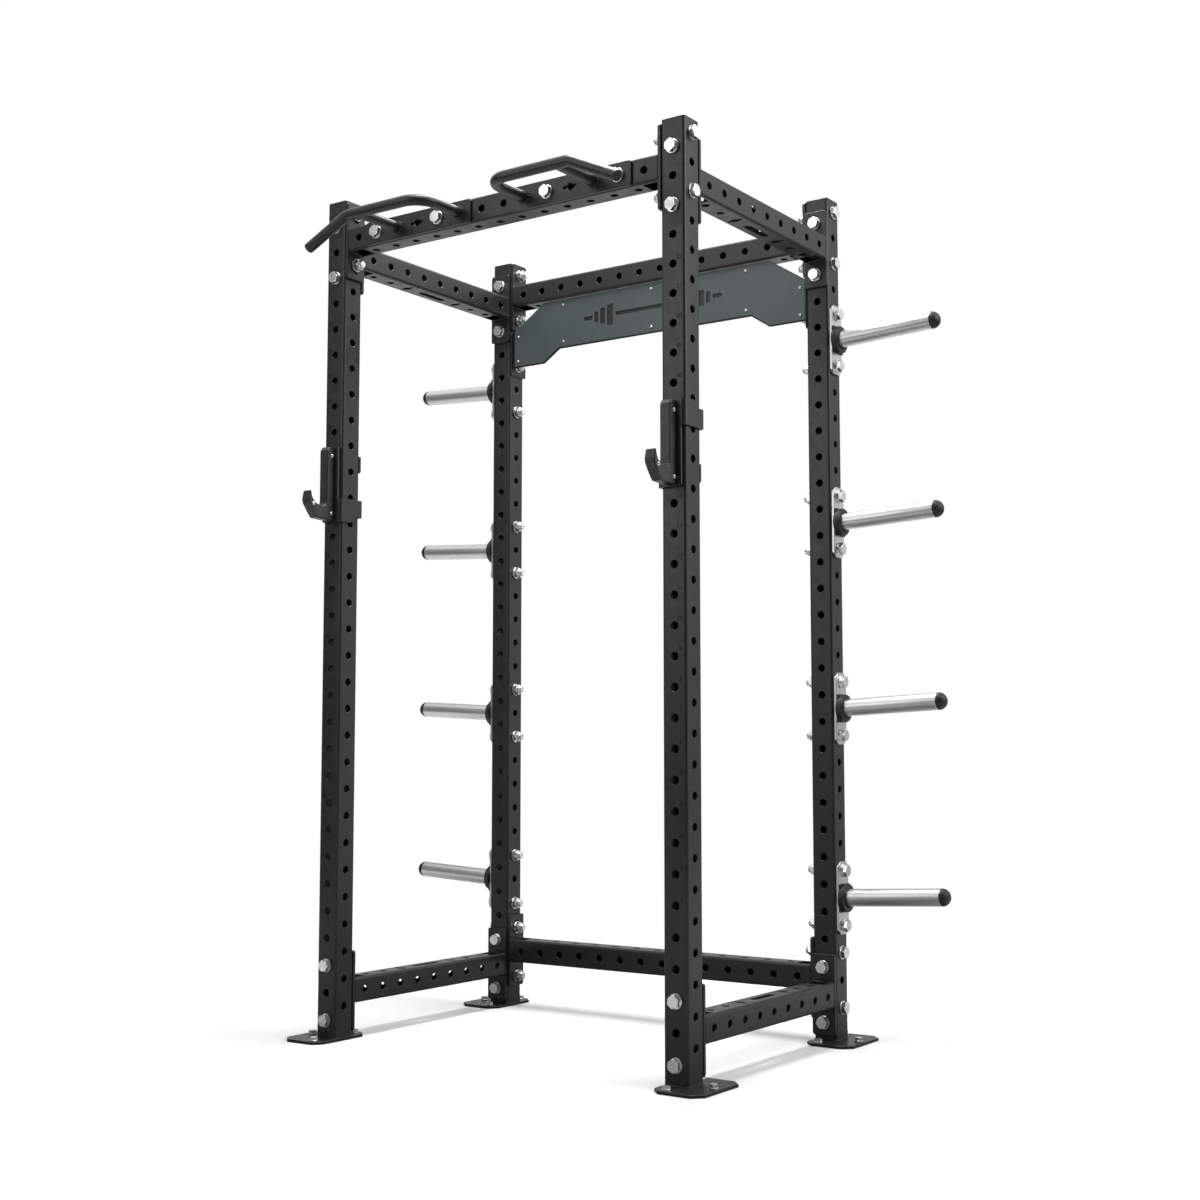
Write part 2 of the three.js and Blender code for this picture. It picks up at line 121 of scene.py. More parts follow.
def keyhole(u, v, radius, reach, half_bar, steps=8):
    """A round hole with a bar through it."""
    touch = math.degrees(math.asin(half_bar / radius))
    across = [(reach, -half_bar), (reach, half_bar)]
    points = [*across, *arc(0, 0, radius, touch, 180 - touch, steps)]
    points += [(-a, -b) for a, b in points]
    return [(u + a, v + b) for a, b in points]


def rectangle(u0, v0, u1, v1):
    return [(u0, v0), (u1, v0), (u1, v1), (u0, v1)]


def clipped(u0, v0, u1, v1, clip):
    return [
        (u0 + clip, v0), (u1 - clip, v0), (u1, v0 + clip), (u1, v1 - clip),
        (u1 - clip, v1), (u0 + clip, v1), (u0, v1 - clip), (u0, v0 + clip),
    ]


def rounded(points, radius, steps=6):
    """The outline with every corner turned into an arc as far as its edges allow."""
    out = []
    count = len(points)
    for i, here in enumerate(points):
        here = Vector(here)
        before = Vector(points[i - 1]) - here
        after = Vector(points[(i + 1) % count]) - here
        turn = math.pi - before.angle(after)
        if turn < 1e-3:
            out.append(tuple(here))
            continue
        room = 0.49 * min(before.length, after.length)
        setback = min(radius * math.tan(turn / 2), room)
        start = here + before.normalized() * setback
        stop = here + after.normalized() * setback
        k = max(2, min(steps, int(math.degrees(turn) / 7) + 1))
        for j in range(k + 1):
            t = j / k
            out.append(tuple(start * (1 - t) ** 2 + here * 2 * t * (1 - t) + stop * t ** 2))
    return out


def grown(points, distance):
    """A counter-clockwise outline moved outward, each corner along its mitre."""
    out = []
    count = len(points)
    for i, (u, v) in enumerate(points):
        u0, v0 = points[i - 1]
        u1, v1 = points[(i + 1) % count]
        into = Vector((u - u0, v - v0)).normalized()
        off = Vector((u1 - u, v1 - v)).normalized()
        push = distance / max(1 + into.dot(off), 0.3)
        out.append((u + push * (into.y + off.y), v - push * (into.x + off.x)))
    return out


# -------- solids

def bands(count, rows=1, closed=False):
    """Rows of quads between rings of this many points. Closed, the last row leads back to
    the first ring."""
    faces = []
    for r in range(rows):
        lower = r * count
        upper = (r + 1) % rows * count if closed else lower + count
        for i in range(count):
            j = (i + 1) % count
            faces.append([lower + i, lower + j, upper + j, upper + i])
    return faces


def filled(*loops):
    """Triangles that fill the first loop of (u, v) points and leave the others open."""
    corners = [[Vector((u, v, 0)) for u, v in loop] for loop in loops]
    return [list(t) for t in tessellate_polygon(corners)]


class Shape:
    """Vertices and faces in millimetres, before they become a mesh."""

    def __init__(self):
        self.verts = []
        self.faces = []

    def add(self, verts, faces):
        base = len(self.verts)
        self.verts += [Vector(v) for v in verts]
        self.faces += [[base + i for i in face] for face in faces]
        return self

    def join(self, other, matrix=None):
        moved = other.verts if matrix is None else [matrix @ v for v in other.verts]
        return self.add(moved, other.faces)

    def at(self, matrix):
        return Shape().join(self, matrix)


def move(x, y, z):
    return Matrix.Translation((x, y, z))


def turn(degrees, axis):
    return Matrix.Rotation(math.radians(degrees), 4, axis)


def basis(x, y, z):
    """The matrix that sends the local axes to these directions."""
    return Matrix((x, y, z)).transposed().to_4x4()


ALONG_X = basis((0, 1, 0), (0, 0, 1), (1, 0, 0))     # local x, y, z to Y, Z, X
ALONG_Y = basis((0, 0, 1), (1, 0, 0), (0, 1, 0))     # local x, y, z to Z, X, Y
FACE_FRONT = basis((1, 0, 0), (0, 0, 1), (0, -1, 0))  # a plate seen from the front


def plate(outline, holes, thick, edge=PLATE_EDGE):
    """A flat plate from w = 0 to thick, with chamfered edges."""
    shape = Shape()
    loops = []
    for points, way in [(outline, -1), *[(hole, 1) for hole in holes]]:
        inset = grown(points, way * edge)
        rings = [(inset, 0), (points, edge), (points, thick - edge), (inset, thick)]
        verts = [(u, v, w) for ring, w in rings for u, v in ring]
        shape.add(verts, bands(len(points), 3))
        loops.append(inset)
    triangles = filled(*loops)
    for w in (0, thick):
        shape.add([(u, v, w) for loop in loops for u, v in loop], triangles)
    return shape


def lathe(profile, steps=32, closed=False):
    """A profile of (radius, height) turned about local Z."""
    verts = []
    for r, z in profile:
        for i in range(steps):
            angle = 2 * math.pi * i / steps
            verts.append((r * math.cos(angle), r * math.sin(angle), z))
    rows = len(profile) if closed else len(profile) - 1
    return Shape().add(verts, bands(steps, rows, closed))


def sweep(path, section, closed=False):
    """A closed section carried along a path without twisting."""
    points = [Vector(p) for p in path]
    count = len(points)
    tangents = []
    for i in range(count):
        if closed:
            tangents.append((points[(i + 1) % count] - points[i - 1]).normalized())
        else:
            a, b = points[max(i - 1, 0)], points[min(i + 1, count - 1)]
            tangents.append((b - a).normalized())
    side = tangents[0].orthogonal().normalized()
    verts = []
    for i, point in enumerate(points):
        if i:
            side = (side - tangents[i] * side.dot(tangents[i])).normalized()
        up = tangents[i].cross(side)
        verts += [point + side * a + up * b for a, b in section]
    n = len(section)
    faces = bands(n, count if closed else count - 1, closed)
    if not closed:
        faces.append(list(range(n)))
        faces.append([(count - 1) * n + i for i in range(n)])
    return Shape().add(verts, faces)


def filleted(points, radii, steps=12):
    """A route of points whose corners are true arcs with these radii in turn."""
    route = [Vector(points[0])]
    for i, radius in enumerate(radii, 1):
        here = Vector(points[i])
        before = (Vector(points[i - 1]) - here).normalized()
        after = (Vector(points[i + 1]) - here).normalized()
        bend = math.pi - before.angle(after)
        setback = radius * math.tan(bend / 2)
        centre = here + (before + after).normalized() * (radius / math.cos(bend / 2))
        start = here + before * setback - centre
        axis = start.cross(here + after * setback - centre).normalized()
        k = max(2, round(steps * bend / (math.pi / 2)))
        for j in range(k + 1):
            route.append(centre + Matrix.Rotation(bend * j / k, 3, axis) @ start)
    route.append(Vector(points[-1]))
    return route


FACES = [Vector((1, 0)), Vector((0, 1)), Vector((-1, 0)), Vector((0, -1))]


def square_ring(half, radius):
    """Corner points of a rounded square, face by face and counter-clockwise."""
    flat = half - CORNER
    ring = []
    for k in range(4):
        here, following = FACES[k], FACES[(k + 1) % 4]
        centre = (here + following) * flat
        for j in range(CORNER_STEPS + 1):
            angle = math.pi / 2 * j / CORNER_STEPS
            point = centre + (here * math.cos(angle) + following * math.sin(angle)) * radius
            ring.append(tuple(point))
    return ring


def perforated_tube(width, start, stop, openings, lead=0.7):
    """A rounded square tube along local Z. openings[k] lists the loops cut in face k,
    each with its points as (across, along). lead is the chamfer round each opening."""
    half = width / 2
    flat = half - CORNER
    shape = Shape()
    cells = []
    for loops in openings:
        loops = sorted(loops, key=lambda loop: min(p[1] for p in loop))
        edges = [start]
        for one, other in zip(loops, loops[1:]):
            edges.append((max(p[1] for p in one) + min(p[1] for p in other)) / 2)
        edges.append(stop)
        if loops:
            cells.append(list(zip(edges, edges[1:], loops)))
        else:
            cells.append([(start, stop, None)])
    stations = sorted({round(a, 4) for face in cells for cell in face for a in cell[:2]})

    def on_face(k, across, along, depth):
        place = FACES[k] * (half - depth) + FACES[(k + 1) % 4] * across
        return (place.x, place.y, along)

    for k, face in enumerate(cells):
        for low, high, loop in face:
            between = [s for s in stations if low + 1e-3 < s < high - 1e-3]
            border = [(-flat, low), (flat, low), *[(flat, s) for s in between],
                      (flat, high), (-flat, high), *[(-flat, s) for s in reversed(between)]]
            border = [(u, round(v, 4)) for u, v in border]
            loops = [border] if loop is None else [border, grown(loop, lead)]
            triangles = filled(*loops)
            outer = [on_face(k, u, v, 0) for one in loops for u, v in one]
            shape.add(outer, triangles)
            inner = border if loop is None else border + list(loop)
            shape.add([on_face(k, u, v, WALL) for u, v in inner], triangles)
            if loop is None:
                continue
            rings = [(grown(loop, lead), 0), (loop, lead), (loop, WALL)]
            verts = [on_face(k, u, v, depth) for ring, depth in rings for u, v in ring]
            shape.add(verts, bands(len(loop), 2))

    for radius in (CORNER, CORNER - WALL):
        ring = square_ring(half, radius)
        verts = [(*p, s) for s in stations for p in ring]
        n = len(ring)
        shape.add(verts, [
            [k * n + c + j, k * n + c + j + 1, (k + 1) * n + c + j + 1, (k + 1) * n + c + j]
            for k in range(len(stations) - 1)
            for c in range(0, n, CORNER_STEPS + 1) for j in range(CORNER_STEPS)
        ])
    outer, inner = square_ring(half, CORNER), square_ring(half, CORNER - WALL)
    for s in (start, stop):
        verts = [(*p, round(s, 4)) for p in outer + inner]
        shape.add(verts, bands(len(outer)))
    return shape


def weld_round(ring, height, radius, spacing=2.6):
    """A bead of weld along a closed ring of points, with the ripples of its passes."""
    corners = [Vector(p) for p in ring]
    points = []
    for i, here in enumerate(corners):
        after = corners[(i + 1) % len(corners)]
        k = max(1, round((after - here).length / spacing))
        points += [here.lerp(after, j / k) for j in range(k)]
    path = [(p.x, p.y, height) for p in points]
    steps, ripple = 8, 0.16
    bead = sweep(path, circle(0, 0, radius, steps), closed=True)
    for i, vert in enumerate(bead.verts):
        station = i // steps
        centre = Vector(path[station])
        bead.verts[i] = centre + (vert - centre) * (1 + ripple * math.cos(station * math.pi))
    return bead


# -------- fasteners

def hexagon(flats, tall, both=False, turned=0.0):
    """A hexagon from z = 0 to tall, its corners cut by a cone at the free end or at both."""
    steps = 48
    face = flats / 2 * 0.97
    slope = math.tan(math.radians(28))

    def rim(angle):
        local = (angle % (math.pi / 3)) - math.pi / 6
        return flats / 2 / math.cos(local)

    rings = []
    angles = [2 * math.pi * i / steps for i in range(steps)]
    if both:
        rings.append([(face, 0.0)] * steps)
        rings.append([(rim(a), (rim(a) - face) * slope) for a in angles])
    else:
        rings.append([(rim(a), 0.0) for a in angles])
    rings.append([(rim(a), tall - (rim(a) - face) * slope) for a in angles])
    rings.append([(face, tall)] * steps)
    verts = []
    for ring in rings:
        for angle, (r, z) in zip(angles, ring):
            verts.append((r * math.cos(angle + turned), r * math.sin(angle + turned), z))
    faces = bands(steps, len(rings) - 1)
    faces.append(list(range(steps)))
    faces.append([(len(rings) - 1) * steps + i for i in range(steps)])
    return Shape().add(verts, faces)


def washer(radius, bore, thick):
    edge = 0.5
    return lathe([
        (bore, 0), (radius - edge, 0), (radius, edge), (radius, thick - edge),
        (radius - edge, thick), (bore, thick),
    ], steps=40, closed=True)


def thread_end(radius, start, stop, pitch=2.5):
    """The end of a bolt, with ridges for its thread and a chamfered tip."""
    profile = [(0, start), (radius, start)]
    z = start + pitch / 2
    while z < stop - 2.2:
        profile += [(radius * 0.93, z), (radius, z + pitch / 2)]
        z += pitch
    profile += [(radius, stop - 1.6), (radius - 1.6, stop), (0, stop)]
    return lathe(profile, steps=28)


def bolt_head(turned):
    """A washer and a hexagon head standing on z = 0."""
    shape = washer(WASHER["radius"], BOLT, WASHER["thick"])
    head = hexagon(HEAD["flats"], HEAD["tall"], turned=turned)
    return shape.join(head, move(0, 0, WASHER["thick"]))


def lock_nut(turned):
    """A washer, a hexagon nut with a rounded collar, and the bolt's end."""
    start = WASHER["thick"]
    hexed = NUT["tall"] - NUT["collar"]
    shape = washer(WASHER["radius"], BOLT, WASHER["thick"])
    shape.join(hexagon(NUT["flats"], hexed, both=True, turned=turned), move(0, 0, start))
    collar = [
        (NUT["flats"] * 0.46, start + hexed - 0.5), (NUT["flats"] * 0.455, start + hexed + 3),
        (NUT["flats"] * 0.41, start + NUT["tall"] - 0.4), (BOLT + 0.6, start + NUT["tall"]),
        (BOLT - 0.4, start + NUT["tall"] - 1.5), (BOLT - 0.4, start + hexed - 0.5),
    ]
    shape.join(lathe(collar, steps=40, closed=True))
    shape.join(thread_end(BOLT, start + hexed, start + NUT["tall"] + NUT["stick"]))
    return shape


def small_screw(radius, tall=SCREW_TALL):
    """A round head with a cross recess."""
    steps = 28
    arm, width, deep = radius * 0.62, radius * 0.16, tall * 0.55
    flat, top = radius * 0.66, tall * 0.93
    shape = lathe([
        (radius, 0), (radius, 0.5), (radius * 0.93, tall * 0.55), (radius * 0.72, tall * 0.88),
        (flat, top),
    ], steps)
    cross = []
    quarter = [(arm, -width), (arm, width), (width, width)]
    for _ in range(4):
        cross += quarter
        quarter = [(-v, u) for u, v in quarter]
    rim = circle(0, 0, flat, steps)
    shape.add([(u, v, top) for u, v in rim + cross], filled(rim, cross))
    n = len(cross)
    shape.add([(u, v, z) for z in (top, top - deep) for u, v in cross],
              bands(n) + [[n + i for i in range(n)]])
    shape.add([(u, v, 0) for u, v in circle(0, 0, radius, steps)], [list(range(steps))])
    return shape


def facing(direction, x, y, z):
    """The matrix that stands something on z = 0 out of a face that looks this way."""
    normal = Vector(direction)
    rotation = Vector((0, 0, 1)).rotation_difference(normal).to_matrix().to_4x4()
    return move(x, y, z) @ rotation


# -------- paint

class Nodes:
    """A node tree that starts empty."""

    def __init__(self, tree):
        self.tree = tree
        tree.nodes.clear()

    def node(self, kind, inputs=None, **settings):
        made = self.tree.nodes.new(kind)
        for key, value in settings.items():
            setattr(made, key, value)
        for key, value in (inputs or {}).items():
            socket = made.inputs[key]
            if isinstance(value, bpy.types.NodeSocket):
                self.tree.links.new(value, socket)
            else:
                socket.default_value = value
        return made

    def level(self, value, low, high, out_low=0.0, out_high=1.0):
        """A smooth step of the value."""
        inputs = {0: value, 1: low, 2: high, 3: out_low, 4: out_high}
        return self.node("ShaderNodeMapRange", inputs, interpolation_type="SMOOTHSTEP").outputs[0]

    def sum(self, a, b, operation="ADD"):
        """Two values added, or joined by another operation."""
        return self.node("ShaderNodeMath", {0: a, 1: b}, operation=operation).outputs[0]

    def times(self, a, b):
        return self.sum(a, b, "MULTIPLY")


class Paint(Nodes):
    """A material built from nodes."""

    def __init__(self, name):
        self.material = bpy.data.materials.new(name)
        self.material.use_nodes = True
        super().__init__(self.material.node_tree)
        self.place = self.node("ShaderNodeTexCoord").outputs["Object"]

    def stretched(self, x, y, z):
        """The object's own coordinates, scaled along each axis."""
        return self.node("ShaderNodeMapping", {"Vector": self.place, "Scale": (x, y, z)}).outputs[0]

    def noise(self, scale, detail=3.0, rough=0.55, vector=None):
        inputs = {
            "Vector": vector or self.place, "Scale": scale, "Detail": detail, "Roughness": rough,
        }
        return self.node("ShaderNodeTexNoise", inputs).outputs[0]

    def mix(self, factor, a, b):
        a, b = (v if isinstance(v, bpy.types.NodeSocket) else (*v, 1.0) for v in (a, b))
        return self.node("ShaderNodeMix", {0: factor, 6: a, 7: b}, data_type="RGBA").outputs[2]

    def bump(self, height, strength, distance, normal=None):
        inputs = {"Height": height, "Strength": strength, "Distance": distance}
        if normal is not None:
            inputs["Normal"] = normal
        return self.node("ShaderNodeBump", inputs).outputs[0]

    def finish(self, color, roughness, normal, **fixed):
        names = {"metallic": "Metallic", "specular": "Specular IOR Level"}
        inputs = {"Base Color": color, "Roughness": roughness, "Normal": normal}
        for key, value in fixed.items():
            inputs[names[key]] = value
        shader = self.node("ShaderNodeBsdfPrincipled", inputs)
        self.node("ShaderNodeOutputMaterial", {"Surface": shader.outputs[0]})
        return self.material


def powder_coat(name, dark, light, roughness, specular, scuff=(0.16, 0.16, 0.165)):
    """Sprayed and baked powder: orange peel, a fine grain and light scuffs."""
    p = Paint(name)
    broad = p.noise(1.7, 3)
    mottle = p.noise(42, 4, 0.6)
    tone = p.sum(p.times(broad, 0.6), p.times(mottle, 0.4))
    color = p.mix(p.level(tone, 0.35, 0.65), dark, light)
    marks = p.noise(16, 5, 0.72, p.stretched(1, 1, 5.5))
    rubbed = p.times(p.level(marks, 0.66, 0.74), p.level(p.noise(5.5, 2), 0.52, 0.68))
    color = p.mix(p.times(rubbed, 0.5), color, scuff)
    peel = p.noise(420, 2.5, 0.5)
    grain = p.noise(1500, 2, 0.5)
    normal = p.bump(peel, 0.22, 0.0004)
    normal = p.bump(grain, 0.12, 0.00015, normal)
    rough = p.sum(p.level(mottle, 0.3, 0.7, roughness - 0.05, roughness + 0.06),
                  p.times(rubbed, 0.12))
    return p.finish(color, rough, normal, specular=specular)


def plated_steel(
    name, dark, light, roughness, stretch=(1, 1, 1), lines=700.0, age=0.25, relief=0.18,
):
    """Zinc on steel, with fine lines that stretch can draw out along an axis, and stains
    as strong as its age."""
    p = Paint(name)
    cloud = p.noise(55, 4, 0.6)
    fine = p.noise(lines, 3, 0.6, p.stretched(*stretch))
    tone = p.sum(p.times(cloud, 0.55), p.times(fine, 0.45))
    color = p.mix(p.level(tone, 0.38, 0.62), dark, light)
    stain = p.level(p.noise(21, 5, 0.7), 0.58, 0.72)
    color = p.mix(p.times(stain, age), color, (0.36, 0.35, 0.33))
    rough = p.sum(p.level(fine, 0.3, 0.7, roughness - 0.04, roughness + 0.05),
                  p.times(stain, 0.4 * age))
    normal = p.bump(fine, relief, 0.0001)
    return p.finish(color, rough, normal, metallic=1.0)


def moulded(name, dark, light, roughness, grain=900.0, worn=(0.11, 0.115, 0.12), wear=0.35):
    """Black plastic with a fine grain and rubbed streaks."""
    p = Paint(name)
    cloud = p.noise(24, 4, 0.6)
    color = p.mix(p.level(cloud, 0.35, 0.65), dark, light)
    lines = p.noise(38, 5, 0.7, p.stretched(1, 1.6, 7))
    rubbed = p.times(p.level(lines, 0.6, 0.72), wear)
    color = p.mix(rubbed, color, worn)
    texture = p.noise(grain, 3, 0.6)
    normal = p.bump(texture, 0.25, 0.0002)
    rough = p.sum(p.level(cloud, 0.3, 0.7, roughness - 0.06, roughness + 0.06),
                  p.times(rubbed, 0.15))
    return p.finish(color, rough, normal, specular=0.5)


FINISHES = {
    "black_coat": (powder_coat, (0.012, 0.012, 0.0125), (0.018, 0.018, 0.0185), 0.38, 0.5),
    "etched_number": (powder_coat, (0.004, 0.004, 0.004), (0.007, 0.007, 0.007), 0.7, 0.15),
    "sign_slate": (
        powder_coat, (0.066, 0.083, 0.083), (0.076, 0.094, 0.094), 0.42, 0.45, (0.16, 0.18, 0.18),
    ),
    "zinc_fastener": (plated_steel, (0.76, 0.76, 0.75), (0.88, 0.88, 0.87), 0.28),
    "steel_sleeve": (
        plated_steel, (0.63, 0.63, 0.62), (0.67, 0.67, 0.66), 0.36,
        (0.05, 1, 1), 900.0, 0.06, 0.015,
    ),
    "black_plastic": (moulded, (0.008, 0.008, 0.0085), (0.013, 0.013, 0.0135), 0.5),
    "hook_plastic": (moulded, (0.016, 0.0175, 0.018), (0.023, 0.025, 0.026), 0.42, 600.0),
}
MATERIALS = {name: make(name, *look) for name, (make, *look) in FINISHES.items()}


# -------- meshes

SHARP = math.radians(33)        # edges that turn more than this are shaded as edges
BEVELLED = math.radians(40)     # and edges that turn more than this can be bevelled


def piece(name, shape, slot_name, nodes=(), body="cage", material=None, bevel=0.0):
    """A shape as an object that rides on a body and stands for these CAD nodes."""
    mesh = bpy.data.meshes.new(name)
    mesh.from_pydata([v * MM for v in shape.verts], [], shape.faces)
    work = bmesh.new()
    work.from_mesh(mesh)
    bmesh.ops.remove_doubles(work, verts=work.verts, dist=2e-6)
    bmesh.ops.dissolve_degenerate(work, edges=work.edges, dist=1e-7)
    bmesh.ops.recalc_face_normals(work, faces=work.faces)
    if bevel:
        edges = [
            e for e in work.edges
            if len(e.link_faces) == 2 and e.calc_face_angle(0) > BEVELLED
        ]
        bmesh.ops.bevel(
            work, geom=edges, offset=bevel * MM, segments=2, profile=0.5,
            affect="EDGES", clamp_overlap=True,
        )
    for face in work.faces:
        face.smooth = True
    work.to_mesh(mesh)
    work.free()
    mesh.set_sharp_from_angle(angle=SHARP)
    mesh.materials.append(MATERIALS[material or slot_name])
    made = bpy.data.objects.new(name, mesh)
    bpy.context.scene.collection.objects.link(made)
    even = made.modifiers.new("even_normals", "WEIGHTED_NORMAL")
    even.keep_sharp = True
    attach(made, body)
    if nodes:
        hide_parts(*nodes)
    return made


# -------- uprights, feet and caps

SIDES = [("left", -1), ("right", 1)]
ROWS = ["front", "rear"]
TUBE_LOW, TUBE_HIGH = span("front_left_upright")
TUBE = TUBE_HIGH.x - TUBE_LOW.x
HALF = TUBE / 2
HOLE_COUNT = 31
LOWEST = -4             # number of the lowest hole


def hole_height(number):
    return FIRST_HOLE + PITCH * number


def upright(label, side):
    """An upright with its rows of holes, its foot with the floor anchors, and its cap."""
    node = f"{label}_upright"
    low, high, centre = extent(node)
    level = [circle(0, hole_height(LOWEST + i), HOLE) for i in range(HOLE_COUNT)]
    offset = [circle(0, hole_height(LOWEST + i + 0.5), HOLE) for i in range(HOLE_COUNT)]
    tube = perforated_tube(TUBE, low.z, high.z, [offset, level, offset, level])
    here = move(centre.x, centre.y, 0)
    piece(f"{node}_tube", tube.at(here), "black_coat", [node])

    foot = f"{label}_foot"
    low, high = span(foot)
    outer = high.x if side > 0 else low.x
    outline = clipped(low.x, low.y, high.x, high.y, FOOT["clip"])
    ear = FOOT["ear"]
    ears = [(centre.x, low.y + ear), (centre.x, high.y - ear), (outer - side * ear, centre.y)]
    holes = [circle(u, v, FOOT["hole"]) for u, v in ears]
    shape = plate(outline, holes, high.z - low.z)
    ring = square_ring(HALF, CORNER)
    shape.join(weld_round(ring, high.z, WELD), here)
    piece(f"{foot}_plate", shape, "black_coat", [foot])

    anchors = Shape()
    for i, (u, v) in enumerate(ears):
        spot = move(u, v, high.z)
        anchors.join(washer(ANCHOR["radius"], ANCHOR["bore"], ANCHOR["thick"]), spot)
        head = hexagon(ANCHOR["flats"], ANCHOR["tall"], turned=0.4 + 0.7 * i)
        anchors.join(head, spot @ move(0, 0, ANCHOR["thick"]))
    piece(f"{label}_floor_anchors", anchors, "zinc_fastener")

    cap = f"{label}_top_cap"
    low, high = span(cap)
    flange = high.z - span(node)[1].z
    shape = plate(ring, [], flange, 1.1)
    skirt = [(u * SKIRT, v * SKIRT) for u, v in ring]
    shape.join(plate(skirt, [], high.z - low.z - flange, 0.5), move(0, 0, low.z - high.z + flange))
    piece(f"{cap}_plug", shape.at(move(centre.x, centre.y, high.z - flange)),
          "black_plastic", [cap])


def number_marks(label, side):
    """The numbers beside the holes in an upright's front face."""
    low, high = span(f"{label}_upright")
    centre = (low.x + high.x) / 2
    shape = Shape()
    for number in range(FIRST_NUMBER, LAST_NUMBER + 1):
        curve = bpy.data.curves.new("digits", "FONT")
        curve.body = str(number)
        curve.size = NUMBER_TALL * LETTER_SIZE
        curve.align_x = "CENTER"
        curve.align_y = "CENTER"
        curve.extrude = NUMBER_DEEP
        curve.resolution_u = 4
        text = bpy.data.objects.new("digits", curve)
        bpy.context.scene.collection.objects.link(text)
        bpy.context.view_layer.update()
        mesh = text.to_mesh()
        verts = [v.co.copy() for v in mesh.vertices]
        faces = [list(f.vertices) for f in mesh.polygons]
        text.to_mesh_clear()
        bpy.data.objects.remove(text)
        bpy.data.curves.remove(curve)
        wide = [v.x for v in verts]
        tall = [v.y for v in verts]
        shift = Vector(((min(wide) + max(wide)) / 2, (min(tall) + max(tall)) / 2, 0))
        up = hole_height(number) + NUMBER_UP
        spot = move(centre + side * NUMBER_OUT, low.y, up) @ FACE_FRONT
        shape.add([spot @ (v - shift) for v in verts], faces)
    piece(f"{label}_hole_numbers", shape, "black_coat", material="etched_number")


for row in ROWS:
    for name, side in SIDES:
        upright(f"{row}_{name}", side)
for name, side in SIDES:
    number_marks(f"front_{name}", side)


# -------- beams

END = {"thick": 10.0, "corner": 8.0, "bolt_up": PITCH, "slot": 35.0}
WINDOW = {"long": 48.0, "wide": 50.0, "from_plate": 3.0}
MIDDLE_SLOT = {"long": 112.0, "wide": 20.0}
BEAM_KEYHOLE = {"radius": 11.0, "reach": 20.5, "half_bar": 5.0}


def beam(node, along_x):
    """A perforated tube between two slotted end plates. The top beams have access windows
    below only, the others above as well."""
    low, high, centre = extent(node)
    length = (high - low).x if along_x else (high - low).y
    tall = (high - low).z
    end = length / 2
    shoulder = end - END["thick"]
    near = shoulder - WINDOW["from_plate"]
    windows = [
        rounded(rectangle(-WINDOW["wide"] / 2, a, WINDOW["wide"] / 2, b), 3)
        for a, b in ((near - WINDOW["long"], near), (-near, WINDOW["long"] - near))
    ]
    above = [] if node.startswith("top") else windows
    if along_x:
        count = 7
        faces = [circle(0, PITCH * (i + 0.5), HOLE) for i in range(-count, count)]
        flats = [circle(0, PITCH * i, HOLE) for i in range(1 - count, count)]
        openings = [faces, flats + above, faces, flats + windows]
        lie = ALONG_X
    else:
        sides = [circle(0, PITCH * i, HOLE) for i in range(-4, 5)]
        flats = [slot(0, 0, MIDDLE_SLOT["long"], MIDDLE_SLOT["wide"], along_v=True)]
        for s in (-1, 1):
            flats.append(keyhole(0, s * PITCH * 1.5, *BEAM_KEYHOLE.values()))
            flats += [circle(0, s * PITCH * k, HOLE) for k in (2.5, 3.5)]
        openings = [flats + above, sides, flats + windows, sides]
        lie = ALONG_Y
    shape = perforated_tube(TUBE, -shoulder, shoulder, openings)
    half_tall = tall / 2
    if along_x:
        outline = rectangle(-HALF, -half_tall, HALF, half_tall)
        slots = [slot(0, s * END["bolt_up"], END["slot"], 2 * HOLE, along_v=True) for s in (-1, 1)]
    else:
        outline = rectangle(-half_tall, -HALF, half_tall, HALF)
        slots = [slot(s * END["bolt_up"], 0, END["slot"], 2 * HOLE) for s in (-1, 1)]
    ends = plate(rounded(outline, END["corner"]), slots, END["thick"], 1.2)
    shape.join(ends, move(0, 0, -end))
    shape.join(ends, move(0, 0, shoulder))
    ring = square_ring(HALF - 1, CORNER)
    for s in (-1, 1):
        shape.join(weld_round(ring, s * shoulder, WELD))
    here = move(*centre) @ lie
    piece(f"{node}_tube", shape.at(here), "black_coat", [node])


BEAMS_X = ["top_front_beam", "top_rear_beam", "bottom_rear_beam"]
BEAMS_Y = [f"{level}_{name}_beam" for level in ("top", "bottom") for name, _ in SIDES]
for node in BEAMS_X:
    beam(node, True)
for node in BEAMS_Y:
    beam(node, False)


def bolt_levels(node):
    """Heights of the upright holes that a beam's two bolts pass through."""
    centre = middle(node).z
    levels = []
    for s in (-1, 1):
        raw = (centre + s * END["bolt_up"] - FIRST_HOLE) / PITCH
        levels.append(hole_height(round(raw * 2) / 2))
    return levels


bolt_numbers = itertools.count(1)


def add_bolt(shape, head_at, nut_at):
    """A bolt with its head and its nut at these places, each left at its own angle."""
    number = next(bolt_numbers)
    shape.join(bolt_head(HEAD_TURN * number), head_at)
    shape.join(lock_nut(NUT_TURN * number), nut_at)


for node in BEAMS_X:
    low, high, centre = extent(node)
    for name, side in SIDES:
        outer = side * (middle(f"front_{name}_upright").x * side + HALF)
        inner = (high.x if side > 0 else low.x) - side * END["thick"]
        shape = Shape()
        for z in bolt_levels(node):
            add_bolt(shape, facing((side, 0, 0), outer, centre.y, z),
                     facing((-side, 0, 0), inner, centre.y, z))
        piece(f"{node}_bolts_{name}", shape, "zinc_fastener")

